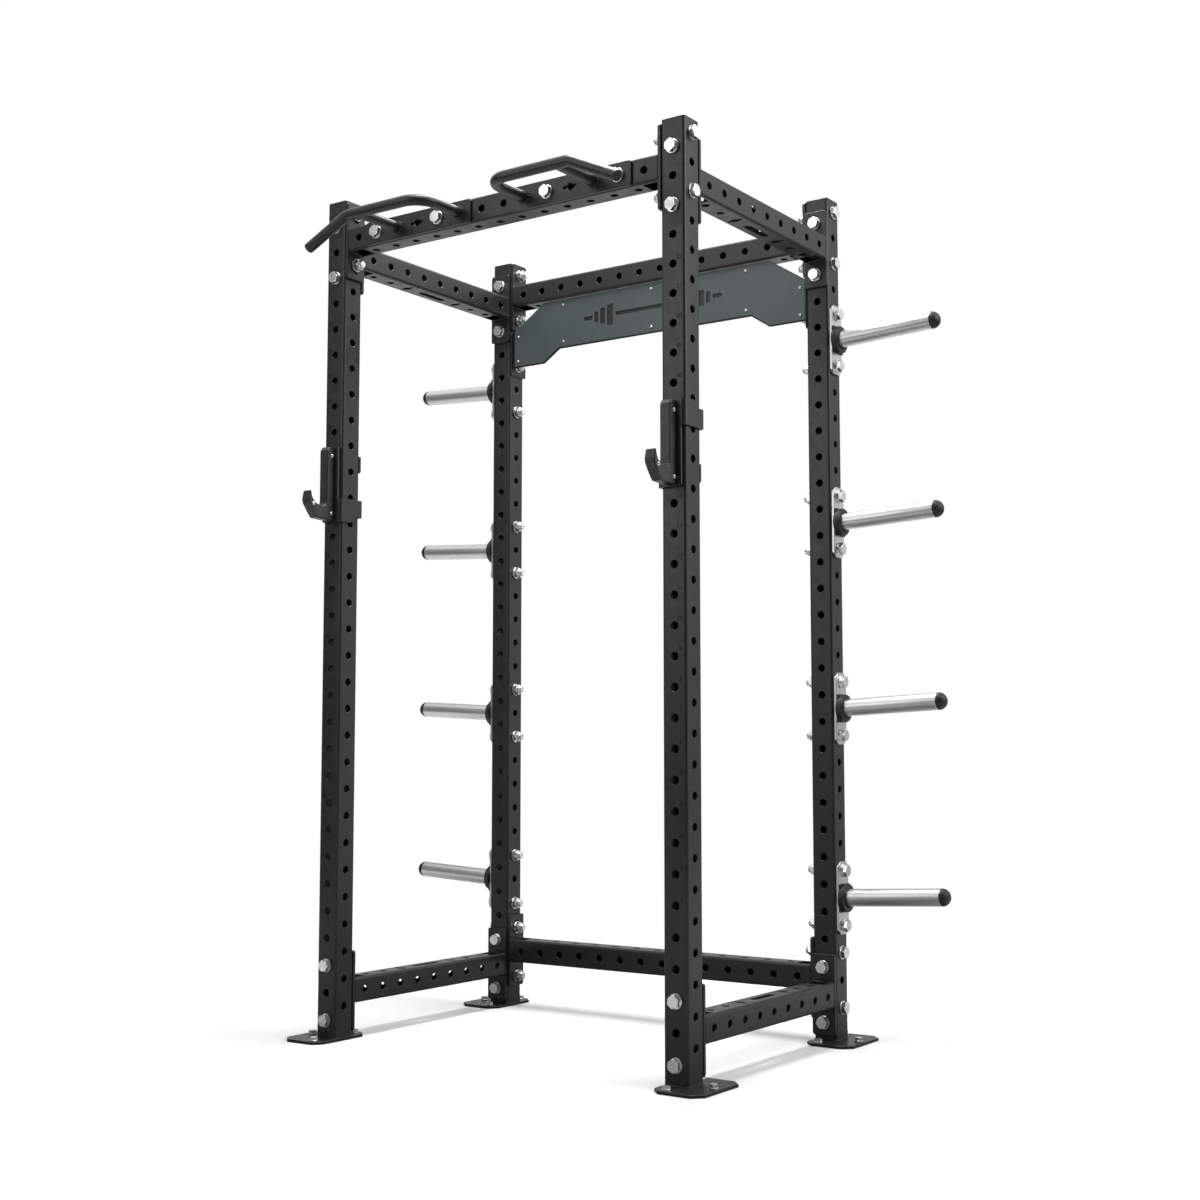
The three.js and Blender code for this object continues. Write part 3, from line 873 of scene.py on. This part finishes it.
for node in BEAMS_Y:
    low, high, centre = extent(node)
    front = middle("front_left_upright").y - HALF
    back = middle("rear_left_upright").y + HALF
    ends = [("front", front, low.y + END["thick"]), ("rear", high.y - END["thick"], back)]
    for end_name, head_at, nut_at in ends:
        shape = Shape()
        for z in bolt_levels(node):
            add_bolt(shape, facing((0, -1, 0), centre.x, head_at, z),
                     facing((0, 1, 0), centre.x, nut_at, z))
        piece(f"{node}_bolts_{end_name}", shape, "zinc_fastener")


# -------- pull-up handles

GRIP = {
    "rod": 15.0, "inner": 112.0, "outer": 336.0, "bend": 60.0, "elbow": 375.0, "elbow_bend": 40.0,
    "tip": 522.0, "tip_drop": 69.0, "plate_to": 453.0, "plate_up": 33.0,
    "thick": 6.0, "corner": 8.0, "bolts": (187.5, 412.5), "keyhole": 262.5, "bead": 3.4,
}
GRIP_KEYHOLE = {"radius": 10.0, "reach": 20.5, "half_bar": 3.8}


def rod_end(path, radius, edge=3.0):
    """A bar along a path whose last end is rounded over."""
    path = [Vector(p) for p in path]
    tip = path[-1]
    along = (tip - path[-2]).normalized()
    path[-1] = tip - along * edge
    shape = sweep(path, circle(0, 0, radius, 28))
    profile = [(radius, -0.5), *arc(radius - edge, 0, edge, 0, 90, 5), (0, edge)]
    spot = facing(along, *path[-1])
    return shape.join(lathe(profile, 28), spot)


for name, side in SIDES:
    node = f"pull_up_handle_{name}"
    low, high = span(node)
    start = min(abs(low.x), abs(high.x))
    beam_centre = middle("top_front_beam")
    z = beam_centre.z
    face = beam_centre.y - HALF
    front = face - GRIP["thick"] - GAP
    grip_y = low.y + GRIP["rod"]

    ends = sorted((side * start, side * GRIP["plate_to"]))
    plate_up = GRIP["plate_up"]
    outline = rounded(rectangle(ends[0], -plate_up, ends[1], plate_up), GRIP["corner"])
    holes = [circle(side * x, 0, HOLE) for x in GRIP["bolts"]]
    holes.append(keyhole(side * GRIP["keyhole"], 0, *GRIP_KEYHOLE.values()))
    back = move(0, front + GRIP["thick"], z) @ FACE_FRONT
    shape = plate(outline, holes, GRIP["thick"]).at(back)

    route = [
        (side * GRIP["inner"], front, z), (side * GRIP["inner"], grip_y, z),
        (side * GRIP["elbow"], grip_y, z), (side * GRIP["tip"], grip_y, z - GRIP["tip_drop"]),
    ]
    shape.join(rod_end(filleted(route, (GRIP["bend"], GRIP["elbow_bend"])), GRIP["rod"]))
    strut = [(side * GRIP["outer"], front, z), (side * GRIP["outer"], grip_y, z)]
    shape.join(sweep(strut, circle(0, 0, GRIP["rod"] - 0.2, 28)))
    bead = weld_round(circle(0, 0, GRIP["rod"] + 0.5, 28), 0, GRIP["bead"])
    for x in (GRIP["inner"], GRIP["outer"]):
        shape.join(bead, facing((0, -1, 0), side * x, front, z))
    piece(f"{node}_bar", shape, "black_coat", [node])

    bolts = Shape()
    for i, x in enumerate(GRIP["bolts"]):
        bolts.join(bolt_head(0.5 + i), facing((0, -1, 0), side * x, front, z))
        bolts.join(lock_nut(0.3 + i), facing((0, 1, 0), side * x, face + TUBE, z))
    piece(f"{node}_bolts", bolts, "zinc_fastener")


# -------- sign panel

SIGN = {
    "shoulder": 412.0, "waist": 412.0, "arch": 351.0, "arch_up": 40.0, "end_top": 114.0,
    "thick": 3.0, "border": 4.0, "motif_up": 20.0, "screw": 4.8,
    "screws": ((0, 175), (0, 56), (334, 175), (334, 56), (514, 95), (514, 15)),
}
FLANGE = {"thick": 4.0, "tall": 140.0, "corner": 10.0}      # the backing's bent ends
MOTIF_BAR = {"half": 132.0, "tall": 12.0}
MOTIF_PLATES = ((142, 164, 66), (172, 190, 50), (198, 212, 34), (220, 252, 12))


def sign_outline(low, high, border=0.0):
    """Sloped shoulders above and a raised arch below, about the middle, and a border
    round it that stops at the top edge."""
    bottom, top = low.z, high.z
    right = [
        (SIGN["arch"], bottom + SIGN["arch_up"]), (SIGN["waist"], bottom),
        (high.x, bottom), (high.x, bottom + SIGN["end_top"]), (SIGN["shoulder"], top),
    ]
    left = [(-u, v) for u, v in reversed(right)]
    outline = [(u, min(v, top)) for u, v in grown(right + left, border)]
    return rounded(outline, 2.5, 3)


def bar_motif(z):
    """A bar loaded with plates, as openings through the face."""
    half, up = MOTIF_BAR["half"], MOTIF_BAR["tall"] / 2
    loops = [rounded(rectangle(-half, z - up, half, z + up), 3)]
    for s in (-1, 1):
        for near, far, tall in MOTIF_PLATES:
            a, b = sorted((s * near, s * far))
            loops.append(rounded(rectangle(a, z - tall / 2, b, z + tall / 2), 4))
    return loops


low, high = span("sign_face")
outline = sign_outline(low, high)
motif = bar_motif((low.z + high.z) / 2 + SIGN["motif_up"])
face_shape = plate(outline, motif, high.y - low.y, 0.5)
piece("sign_face_panel", face_shape.at(move(0, high.y, 0) @ FACE_FRONT), "sign_slate",
      ["sign_face"])

back_low, back_high = span("sign_backing")
panel_y = high.y + GAP
border = SIGN["border"]
backing = plate(sign_outline(low, high, border), [], SIGN["thick"], 0.4).at(
    move(0, panel_y + SIGN["thick"], 0) @ FACE_FRONT)
for side in (-1, 1):
    wall = back_high.x if side > 0 else back_low.x
    left, right = sorted((wall, side * SIGN["waist"]))
    tab = rounded(rectangle(left, low.z - border, right, low.z + SIGN["end_top"] - 2), 2)
    backing.join(plate(tab, [], SIGN["thick"] - 0.2, 0.4).at(
        move(0, panel_y + SIGN["thick"] + 0.1, 0) @ FACE_FRONT))
    bent = rectangle(back_low.y, back_low.z, back_high.y, back_low.z + FLANGE["tall"])
    bent = plate(rounded(bent, FLANGE["corner"]), [], FLANGE["thick"], 0.8)
    at = wall if side < 0 else wall - FLANGE["thick"]
    backing.join(bent.at(move(at, 0, 0) @ ALONG_X))
piece("sign_backing_panel", backing, "black_coat", ["sign_backing"])

screws = Shape()
for x, up in SIGN["screws"]:
    for s in ((1,) if x == 0 else (-1, 1)):
        screws.join(small_screw(SIGN["screw"]), facing((0, -1, 0), s * x, low.y, low.z + up))
piece("sign_screws", screws, "zinc_fastener")


# -------- storage pegs

PEG = {
    "plate": 8.0, "sleeve": 24.0, "bore": 20.5, "tilt": 3.0, "clip": 13.0, "bolt_up": PITCH,
    "lip": 1.5, "dome": 23.0,
}
LEVELS = (1, 2, 3, 4)

for name, side in SIDES:
    outward = turn(0 if side > 0 else 180, "Z")
    for level in LEVELS:
        node = f"{name}_peg_{level}"
        low, high, centre = extent(node)
        wall = side * (abs(middle(f"rear_{name}_upright").x) + HALF)
        here = move(wall, centre.y, centre.z) @ outward
        half_wide, half_tall = (high.y - low.y) / 2, (high.z - low.z) / 2
        tilt = turn(-PEG["tilt"], "Y") @ ALONG_X
        cap_low, cap_high = span(f"{name}_end_cap_{level}")
        far = max(abs(cap_low.x), abs(cap_high.x)) - abs(wall)
        reach = far / math.cos(math.radians(PEG["tilt"])) - PEG["dome"] - PEG["lip"]

        outline = clipped(-half_wide, -half_tall, half_wide, half_tall, PEG["clip"])
        bolts_up = [circle(0, s * PEG["bolt_up"], BOLT) for s in (-1, 1)]
        shape = plate(outline, bolts_up, PEG["plate"], 1.2).at(move(GAP, 0, 0) @ ALONG_X)
        sleeve = lathe([
            (PEG["bore"], 7), (PEG["sleeve"], 7), (PEG["sleeve"], reach - 0.8),
            (PEG["sleeve"] - 0.8, reach), (PEG["bore"], reach),
        ], steps=56, closed=True)
        shape.join(sleeve, tilt)
        piece(f"{node}_sleeve", shape.at(here), "steel_sleeve", [node])

        collar = f"{name}_collar_{level}"
        collar_low, collar_high = span(collar)
        tall = (collar_high.z - collar_low.z) / 2
        start = PEG["plate"] + 0.6
        thick = collar_high.x - collar_low.x
        pad = rounded(rectangle(-half_wide, -tall, half_wide, tall), 5)
        hub = circle(0, 0, PEG["sleeve"] + 1.5, 40)
        shape = plate(pad, [hub], 4, 0.6).at(move(start, 0, 0) @ ALONG_X)
        ring = lathe([
            (PEG["sleeve"] + 1.5, 0), (tall, 0), (tall, thick - 2.5), (tall - 0.8, thick - 0.8),
            (tall - 2.5, thick), (PEG["sleeve"] + 3, thick), (PEG["sleeve"] + 1.5, thick - 1.5),
        ], steps=56, closed=True)
        shape.join(ring, move(start, 0, 0) @ ALONG_X)
        piece(f"{collar}_ring", shape.at(here), "black_plastic", [collar])

        cap = f"{name}_end_cap_{level}"
        rim = PEG["sleeve"]
        dome = [(0, reach - 13), (PEG["bore"] - 0.3, reach - 13), (PEG["bore"] - 0.3, reach + 0.3),
                (rim - 0.4, reach + 0.3), (rim, reach + 0.6), (rim, reach + PEG["lip"])]
        steps = 12
        for i in range(1, steps + 1):
            angle = math.pi / 2 * i / steps
            dome.append((rim * math.cos(angle) if i < steps else 0,
                         reach + PEG["lip"] + PEG["dome"] * math.sin(angle)))
        piece(f"{cap}_dome", lathe(dome, 56).at(here @ tilt), "black_plastic", [cap])

        bolts = Shape()
        for s in (-1, 1):
            up = s * PEG["bolt_up"]
            on_flange = level == len(LEVELS) and s > 0
            inside = -TUBE - (FLANGE["thick"] + GAP if on_flange else 0)
            add_bolt(bolts, facing((1, 0, 0), GAP + PEG["plate"], 0, up),
                     facing((-1, 0, 0), inside, 0, up))
        piece(f"{node}_bolts", bolts.at(here), "zinc_fastener")


# -------- J-hooks

HOOK = {
    "steel": 6.0, "wide": 29.0, "corner": 6.0, "bend": 12.0, "near": 41.5, "far": 90.5,
    "slope_from": -6.0, "slope_to": 19.0, "tab_end": 29.0, "pad": 15.0, "edge": 2.4,
    "screws": ((-56.0, 78.5), (-56.0, -86.5), (-127.0, -65.0)), "screw": 5.6,
    "pin": 9.0, "pin_reach": 24.0,
}
# The pad seen from its side, as (y, z) from the pin: below and round the tip, down into the
# cradle, and up the strip in front of the upright.
J_OUTLINE = [
    (-47.6, -106), (-112, -102.5), (-126, -86), (-139, -68.5), (-143.5, -60), (-144.3, -51),
    (-142, -41), (-138.5, -28.5), (-135.5, -28.5), (-131.5, -42.5), (-126, -52), (-118.5, -58.5),
    (-110, -63.5), (-101, -66.5), (-88, -66.5), (-80.5, -63), (-76, -56), (-75, -48),
    (-75, 94), (-65, 104), (-47.6, 104),
]
BEND_STEPS = 8
TAB_CHAMFER = 4.0


def strap_stations(front, inner, far):
    """Points of the outer and inner surface in plan, from the plate round to the tab."""
    steel, bend, end = HOOK["steel"], HOOK["bend"], HOOK["tab_end"]
    steps = BEND_STEPS
    outer = inner + steel
    stations = [((HOOK["wide"], front), (HOOK["wide"], front + steel))]
    first = Vector((outer - bend, front + bend))
    for i in range(steps + 1):
        a = math.pi / 2 * i / steps
        way = Vector((math.sin(a), -math.cos(a)))
        stations.append((first + way * bend, first + way * (bend - steel)))
    for y in (HOOK["slope_from"], HOOK["slope_to"]):
        stations.append(((outer, y), (inner, y)))
    second = Vector((outer - bend, far - bend))
    for i in range(steps + 1):
        a = math.pi / 2 * i / steps
        way = Vector((math.cos(a), math.sin(a)))
        stations.append((second + way * bend, second + way * (bend - steel)))
    stations.append(((TAB_CHAMFER - end, far), (TAB_CHAMFER - end, far - steel)))
    stations.append(((-end, far), (-end, far - steel)))
    return stations


def strap(side, up, front, inner, far, peak):
    """The strap of a hook, open where it leaves the plate."""
    verts = []
    stations = strap_stations(front, inner, far)
    for k, (out, into) in enumerate(stations):
        y = out[1]
        if k < BEND_STEPS + 2 or y <= HOOK["slope_from"]:
            top = peak
        elif y >= HOOK["slope_to"]:
            top = HOOK["far"]
        else:
            share = (y - HOOK["slope_from"]) / (HOOK["slope_to"] - HOOK["slope_from"])
            top = peak + (HOOK["far"] - peak) * share
        low = HOOK["near"]
        if k == len(stations) - 1:
            low, top = low + TAB_CHAMFER, top - TAB_CHAMFER
        for x, y, z in ((*out, low), (*out, top), (*into, top), (*into, low)):
            verts.append((side * x, y, up * z))
    end = list(range(len(verts) - 4, len(verts)))
    return Shape().add(verts, [*bands(4, len(stations) - 1), end])


def hook_sheet(side, front, inner, far, peak):
    """The plate with its upper strap on this side and its lower strap on the other."""
    wide, near, corner = HOOK["wide"], HOOK["near"], HOOK["corner"]
    border = [(-wide, -peak), *arc(wide - corner, corner - peak, corner, -90, 0, 5), (wide, near),
              (wide, peak), *arc(corner - wide, peak - corner, corner, 90, 180, 5), (-wide, -near)]
    border = [(side * u, v) for u, v in border]
    shape = Shape()
    n = len(border)
    open_edges = {border.index((side * wide, near)), border.index((-side * wide, -near))}
    for y in (front, front + HOOK["steel"]):
        shape.add([(u, y, v) for u, v in border], [list(range(n))])
    walls = [wall for i, wall in enumerate(bands(n)) if i not in open_edges]
    shape.add([(u, y, v) for y in (front, front + HOOK["steel"]) for u, v in border], walls)
    shape.join(strap(side, 1, front, inner, far, peak))
    shape.join(strap(-side, -1, front, inner, far, peak))
    return shape


for name, side in SIDES:
    label = f"jhook_{name}"
    body = f"hook_{name}"
    upright_centre = middle(f"front_{name}_upright")
    liner_low, liner_high = span(f"{label}_liner_front")
    pin_z = (liner_low.z + liner_high.z) / 2
    here = move(upright_centre.x, upright_centre.y, pin_z)
    front = liner_low.y - upright_centre.y - GAP - HOOK["steel"]
    far = -front
    inner = HALF + GAP
    frame_low, frame_high = span(f"{label}_frame")
    peak = (frame_high.z - frame_low.z) / 2

    steel = hook_sheet(side, front, inner, far, peak)
    piece(f"{label}_frame_sheet", steel.at(here), "black_coat", [f"{label}_frame"], body,
          bevel=0.9)

    long = HOOK["pin_reach"] - HALF - front - 1
    pin = lathe([(0, 0), (HOOK["pin"], 0), (HOOK["pin"], long - 2), (HOOK["pin"] - 2, long),
                 (0, long)], 36)
    pin = pin.at(facing((0, 1, 0), 0, front + 1, 0))
    piece(f"{label}_pin", pin.at(here), "zinc_fastener", body=body)

    outline = rounded(list(reversed(J_OUTLINE)), 5, 5)
    for which, out in (("outer", side), ("inner", -side)):
        half_pad = Shape()
        inset = grown(outline, -HOOK["edge"])
        rings = [
            (outline, GAP / 2), (outline, HOOK["pad"] - HOOK["edge"]), (inset, HOOK["pad"]),
        ]
        half_pad.add([(out * w, u, v) for ring, w in rings for u, v in ring],
                     bands(len(outline), 2))
        for ring, w in (rings[0], rings[-1]):
            half_pad.add([(out * w, u, v) for u, v in ring], filled(ring))
        piece(f"{label}_pad_{which}_half", half_pad.at(here), "hook_plastic",
              [f"{label}_pad_{which}"], body)

    heads = Shape()
    for y, z in HOOK["screws"]:
        for s in (-1, 1):
            heads.join(small_screw(HOOK["screw"]), facing((s, 0, 0), s * HOOK["pad"], y, z))
    piece(f"{label}_screws", heads.at(here), "zinc_fastener", body=body)

    for part in ("liner_front", "liner_upper", "liner_lower"):
        low, high = span(f"{label}_{part}")
        sheet = rounded(rectangle(low.x, low.z, high.x, high.z), 3)
        shape = plate(sheet, [], high.y - low.y, 0.6).at(move(0, high.y, 0) @ FACE_FRONT)
        piece(f"{label}_{part}_sheet", shape, "black_plastic", [f"{label}_{part}"], body)


# -------- camera, floor and light

scene = bpy.context.scene
scene.view_settings.view_transform = "Standard"

lens = bpy.data.cameras.new("camera")
lens.lens = 50.0
lens.sensor_width = 36.0
camera = bpy.data.objects.new("camera", lens)
camera.location = (2.742, -3.7855, 0.815)
camera.rotation_euler = (math.radians(95.0), 0.0, math.radians(34.915))
scene.collection.objects.link(camera)
scene.camera = camera

ground = bpy.data.meshes.new("floor")
ground_half = 12.0
ground_corners = rectangle(-ground_half, -ground_half, ground_half, ground_half)
ground.from_pydata([(x, y, 0) for x, y in ground_corners], [], [(0, 1, 2, 3)])
floor = bpy.data.objects.new("floor", ground)
scene.collection.objects.link(floor)
# A white floor that fades into the backdrop. Near the cage it throws less light back up.
p = Paint("pale_floor")
seen = p.node("ShaderNodeLightPath").outputs["Is Camera Ray"]
grain = p.level(p.noise(3.0, 3), 0.3, 0.7)
near = p.mix(grain, (0.97, 0.97, 0.97), (1.0, 1.0, 1.0))
away = p.node("ShaderNodeVectorMath", {0: p.place}, operation="LENGTH").outputs["Value"]
bounce = p.mix(p.level(away, 0.7, 2.0), (0.22, 0.22, 0.22), (0.85, 0.85, 0.85))
shade = p.mix(seen, bounce, near)
matt = p.node("ShaderNodeBsdfDiffuse", {"Color": shade, "Roughness": 0.5})
clear = p.node("ShaderNodeBsdfTransparent")
faded = p.sum(p.level(away, 2.4, 3.6), p.times(p.level(away, 1.1, 2.3), seen), "MAXIMUM")
blend = p.node("ShaderNodeMixShader", {0: faded, 1: matt.outputs[0], 2: clear.outputs[0]})
p.node("ShaderNodeOutputMaterial", {"Surface": blend.outputs[0]})
ground.materials.append(p.material)


def soft_light(name, location, target, size, power):
    light = bpy.data.lights.new(name, "AREA")
    light.shape = "RECTANGLE"
    light.size, light.size_y = size
    light.energy = power
    made = bpy.data.objects.new(name, light)
    made.location = location
    aim = Vector(target) - Vector(location)
    made.rotation_euler = aim.to_track_quat("-Z", "Y").to_euler()
    scene.collection.objects.link(made)


soft_light("overhead", (-0.6, 0.0, 4.2), (-0.6, 0.0, 0.0), (6.8, 4.8), 98)
soft_light("key", (0.0, 0.2, 4.0), (0.0, 0.2, 0.0), (0.8, 2.4), 105)
soft_light("right_panel", (3.2, 0.6, 3.2), (0.0, 0.0, 1.2), (2.0, 2.0), 42)
soft_light("front_panel", (-1.4, -3.5, 2.6), (0.0, 0.0, 1.2), (2.0, 2.8), 34)

# The room glows low behind the cage on the left, high on its right and a little in front on
# the left. Each glow: its direction, the cosine at which it begins, and its strength there
# and straight along the direction. The camera itself sees a plain white backdrop.
GLOWS = (
    ((-0.6, 0.7, -0.4), 0.3, 0.03, 0.95),
    ((0.75, 0.45, 0.48), 0.6, 0.0, 1.25),
    ((-0.62, -0.78, 0.0), 0.0, 0.0, 0.11),
)
world = bpy.data.worlds.new("studio")
world.use_nodes = True
scene.world = world
room = Nodes(world.node_tree)
way = room.node("ShaderNodeTexCoord").outputs["Generated"]
total = 0.0
for direction, start, dim, bright in GLOWS:
    toward = room.node("ShaderNodeVectorMath", {0: way, 1: direction}, operation="DOT_PRODUCT")
    total = room.sum(total, room.level(toward.outputs["Value"], start, 1.0, dim, bright))
seen = room.node("ShaderNodeLightPath").outputs["Is Camera Ray"]
strength = room.node("ShaderNodeMix", {0: seen, 2: total, 3: 1.0}, data_type="FLOAT").outputs[0]
sky = room.node("ShaderNodeBackground", {0: (1.0, 1.0, 1.0, 1.0), 1: strength})
room.node("ShaderNodeOutputWorld", {0: sky.outputs[0]})
